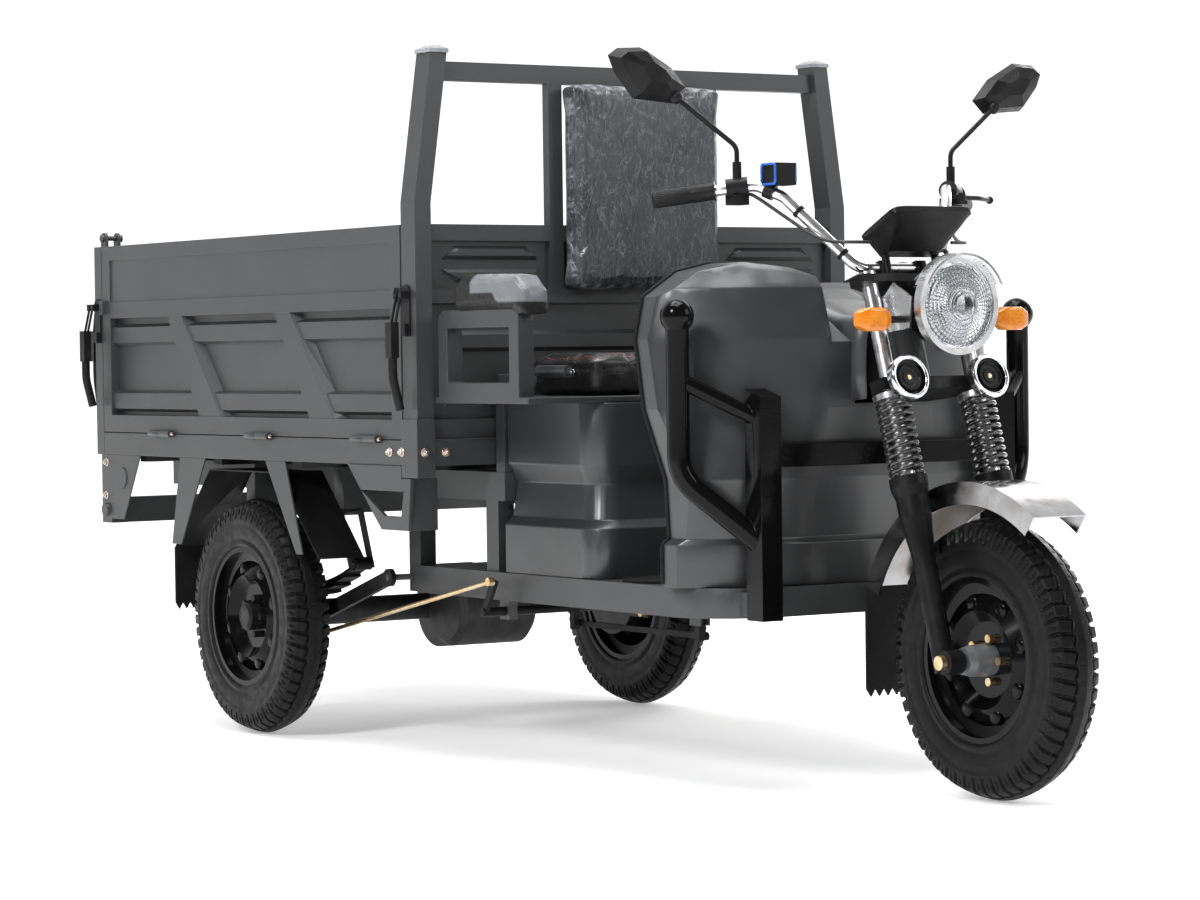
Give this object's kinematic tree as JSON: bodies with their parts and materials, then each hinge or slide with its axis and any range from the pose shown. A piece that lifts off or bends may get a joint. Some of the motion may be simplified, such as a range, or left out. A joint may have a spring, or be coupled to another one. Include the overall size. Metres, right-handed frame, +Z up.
{
  "type": "cargo tricycle",
  "caption": "Cargo tricycle with a drop-side bed, headboard, sprung fork, leaf-sprung driven axle, rider's seat with armrests, leg shield and crash guard",
  "frame": {"origin": "on the ground, in the middle of the overall length and width", "axes": "+X forwards along the vehicle, +Y to the rider's left, +Z up"},
  "size_m": [3.142, 1.234, 1.536],
  "materials": {
    "body_paint": "satin",
    "black_paint": "gloss",
    "dark_plastic": "satin",
    "black_plastic": "satin",
    "chrome": "polished",
    "zinc": "satin",
    "steel": "satin",
    "tyre": "matte",
    "rubber": "matte",
    "seat_cover": "satin",
    "back_film": "gloss",
    "pad_grey": "satin",
    "lens": "clear",
    "amber": "gloss"
  },
  "bodies": {
    "frame": {"chassis_frame": "body_paint", "bed_frame": "body_paint", "rear_posts": "body_paint", "bed_fittings": "black_paint", "headboard": "body_paint", "rear_valance": "body_paint", "rear_mudguards": "dark_plastic", "mud_flaps": "rubber", "side_brackets": "body_paint", "seat_box": "dark_plastic", "seat_frame": "body_paint", "seat_cushion": "seat_cover", "seat_back": "back_film", "armrest_pads": "pad_grey", "leg_shield": "dark_plastic", "crash_guard": "black_paint", "leaf_springs": "black_paint"},
    "axle": {"rear_axle": "black_paint"},
    "rods": {"radius_rods": "black_paint"},
    "right_wheel": {"rear_right_tyre": "tyre", "rear_right_rim": "black_paint", "rear_right_hub": "black_paint"},
    "left_wheel": {"rear_left_tyre": "tyre", "rear_left_rim": "black_paint", "rear_left_hub": "black_paint"},
    "steering": {"steering_stem": "black_paint", "fork_tubes": "chrome", "fork_springs": "black_paint", "handlebar": "chrome", "handlebar_switches": "black_plastic", "control_cables": "rubber", "headlamp": "chrome", "headlamp_lens": "lens", "turn_signals": "amber", "horns": "chrome", "instrument_panel": "black_plastic"},
    "fork": {"fork_sliders": "black_paint", "front_mudguard": "chrome", "front_flap": "rubber"},
    "front_wheel": {"front_tyre": "tyre", "front_rim": "black_paint", "front_hub": "steel"},
    "throttle": {"throttle_grip": "rubber"},
    "hand_brake": {"brake_lever": "black_paint"},
    "mirror_right": {"right_mirror": "black_plastic"},
    "mirror_left": {"left_mirror": "black_plastic"},
    "board_right": {"right_side_board": "body_paint"},
    "board_left": {"left_side_board": "body_paint"},
    "gate": {"tailgate": "body_paint"},
    "parking_lever": {"parking_brake_lever": "black_plastic"},
    "pedal": {"brake_pedal": "black_paint"},
    "link": {"brake_link": "zinc"},
    "cross_shaft": {"brake_cross_shaft": "zinc"},
    "brake_bars": {"brake_rods": "zinc"},
    "front_right_lever": {"front_right_latch": "black_paint"},
    "front_left_lever": {"front_left_latch": "black_paint"},
    "rear_right_lever": {"rear_right_latch": "black_paint"},
    "rear_left_lever": {"rear_left_latch": "black_paint"},
    "gate_right_lever": {"gate_right_latch": "black_paint"},
    "gate_left_lever": {"gate_left_latch": "black_paint"}
  },
  "joints": [
    {"name": "steer", "type": "hinge", "parent": "frame", "child": "steering", "pos_m": [1.078, 0, 0.768], "axis": [-0.2924, 0, 0.9563], "range_deg": [-35, 35]},
    {"name": "fork_travel", "type": "slide", "parent": "steering", "child": "fork", "axis": [-0.2924, 0, 0.9563], "range_m": [0, 0.05], "stiffness_N_per_m": 20000, "springref_m": -0.02, "deforming": ["fork_springs"]},
    {"name": "front_spin", "type": "hinge", "parent": "fork", "child": "front_wheel", "pos_m": [1.298, 0, 0.273], "axis": [0, 1, 0], "continuous": true},
    {"name": "axle_travel", "type": "slide", "parent": "frame", "child": "axle", "axis": [0, 0, 1], "range_m": [0, 0.04], "stiffness_N_per_m": 60000, "springref_m": -0.02, "deforming": ["leaf_springs"]},
    {"name": "right_spin", "type": "hinge", "parent": "axle", "child": "right_wheel", "pos_m": [-0.742, -0.525, 0.273], "axis": [0, 1, 0], "continuous": true},
    {"name": "left_spin", "type": "hinge", "parent": "axle", "child": "left_wheel", "pos_m": [-0.742, 0.525, 0.273], "axis": [0, 1, 0], "continuous": true},
    {"name": "rod_swing", "type": "hinge", "parent": "frame", "child": "rods", "pos_m": [-0.284, 0, 0.378], "axis": [0, 1, 0], "range_deg": [0, 8]},
    {"name": "right_board_drop", "type": "hinge", "parent": "frame", "child": "board_right", "pos_m": [-0.742, -0.579, 0.693], "axis": [1, 0, 0], "range_deg": [0, 175]},
    {"name": "left_board_drop", "type": "hinge", "parent": "frame", "child": "board_left", "pos_m": [-0.742, 0.579, 0.693], "axis": [-1, 0, 0], "range_deg": [0, 175]},
    {"name": "gate_swing", "type": "hinge", "parent": "frame", "child": "gate", "pos_m": [-1.504, 0, 1.176], "axis": [0, 1, 0], "range_deg": [0, 100]},
    {"name": "throttle_turn", "type": "hinge", "parent": "steering", "child": "throttle", "pos_m": [0.823, -0.295, 1.195], "axis": [0.6637, 0.7374, 0.1254], "range_deg": [0, 60], "stiffness_Nm_per_rad": 0.8},
    {"name": "hand_brake_pull", "type": "hinge", "parent": "steering", "child": "hand_brake", "pos_m": [0.884, 0.262, 1.19], "axis": [0, 0, 1], "range_deg": [0, 18], "stiffness_Nm_per_rad": 6},
    {"name": "right_mirror_turn", "type": "hinge", "parent": "steering", "child": "mirror_right", "pos_m": [0.84052, -0.2709, 1.1985], "axis": [0, 0, 1], "range_deg": [-30, 30]},
    {"name": "left_mirror_turn", "type": "hinge", "parent": "steering", "child": "mirror_left", "pos_m": [0.84052, 0.2709, 1.1985], "axis": [0, 0, 1], "range_deg": [-30, 30]},
    {"name": "parking_brake_pull", "type": "hinge", "parent": "frame", "child": "parking_lever", "pos_m": [0.208, -0.42, 0.815], "axis": [0, -1, 0], "range_deg": [0, 40]},
    {"name": "pedal_press", "type": "hinge", "parent": "frame", "child": "pedal", "pos_m": [0.588, -0.2, 0.325], "axis": [0, 1, 0], "range_deg": [0, 18], "stiffness_Nm_per_rad": 20},
    {"name": "link_push", "type": "slide", "parent": "frame", "child": "link", "axis": [-1, 0, 0], "range_m": [0, 0.014]},
    {"name": "shaft_turn", "type": "hinge", "parent": "frame", "child": "cross_shaft", "pos_m": [0.108, 0, 0.321], "axis": [0, 1, 0], "range_deg": [0, 20]},
    {"name": "bar_pull", "type": "slide", "parent": "axle", "child": "brake_bars", "axis": [1, 0, 0], "range_m": [0, 0.03]},
    {"name": "front_right_latch_lift", "type": "hinge", "parent": "frame", "child": "front_right_lever", "pos_m": [0.037, -0.586, 1.003], "axis": [-1, 0, 0], "range_deg": [0, 130]},
    {"name": "front_left_latch_lift", "type": "hinge", "parent": "frame", "child": "front_left_lever", "pos_m": [0.037, 0.586, 1.003], "axis": [1, 0, 0], "range_deg": [0, 130]},
    {"name": "rear_right_latch_lift", "type": "hinge", "parent": "frame", "child": "rear_right_lever", "pos_m": [-1.504, -0.586, 1.003], "axis": [-1, 0, 0], "range_deg": [0, 130]},
    {"name": "rear_left_latch_lift", "type": "hinge", "parent": "frame", "child": "rear_left_lever", "pos_m": [-1.504, 0.586, 1.003], "axis": [1, 0, 0], "range_deg": [0, 130]},
    {"name": "gate_right_latch_lift", "type": "hinge", "parent": "frame", "child": "gate_right_lever", "pos_m": [-1.54, -0.55, 1.003], "axis": [0, 1, 0], "range_deg": [0, 130]},
    {"name": "gate_left_latch_lift", "type": "hinge", "parent": "frame", "child": "gate_left_lever", "pos_m": [-1.54, 0.55, 1.003], "axis": [0, 1, 0], "range_deg": [0, 130]}
  ],
  "couplings": [
    {"joint": "rod_swing", "follows": "axle_travel", "rad_per_m": 2.9412},
    {"joint": "link_push", "follows": "pedal_press", "m_per_rad": 0.04},
    {"joint": "shaft_turn", "follows": "pedal_press", "ratio": 1},
    {"joint": "bar_pull", "follows": "pedal_press", "m_per_rad": 0.068}
  ]
}
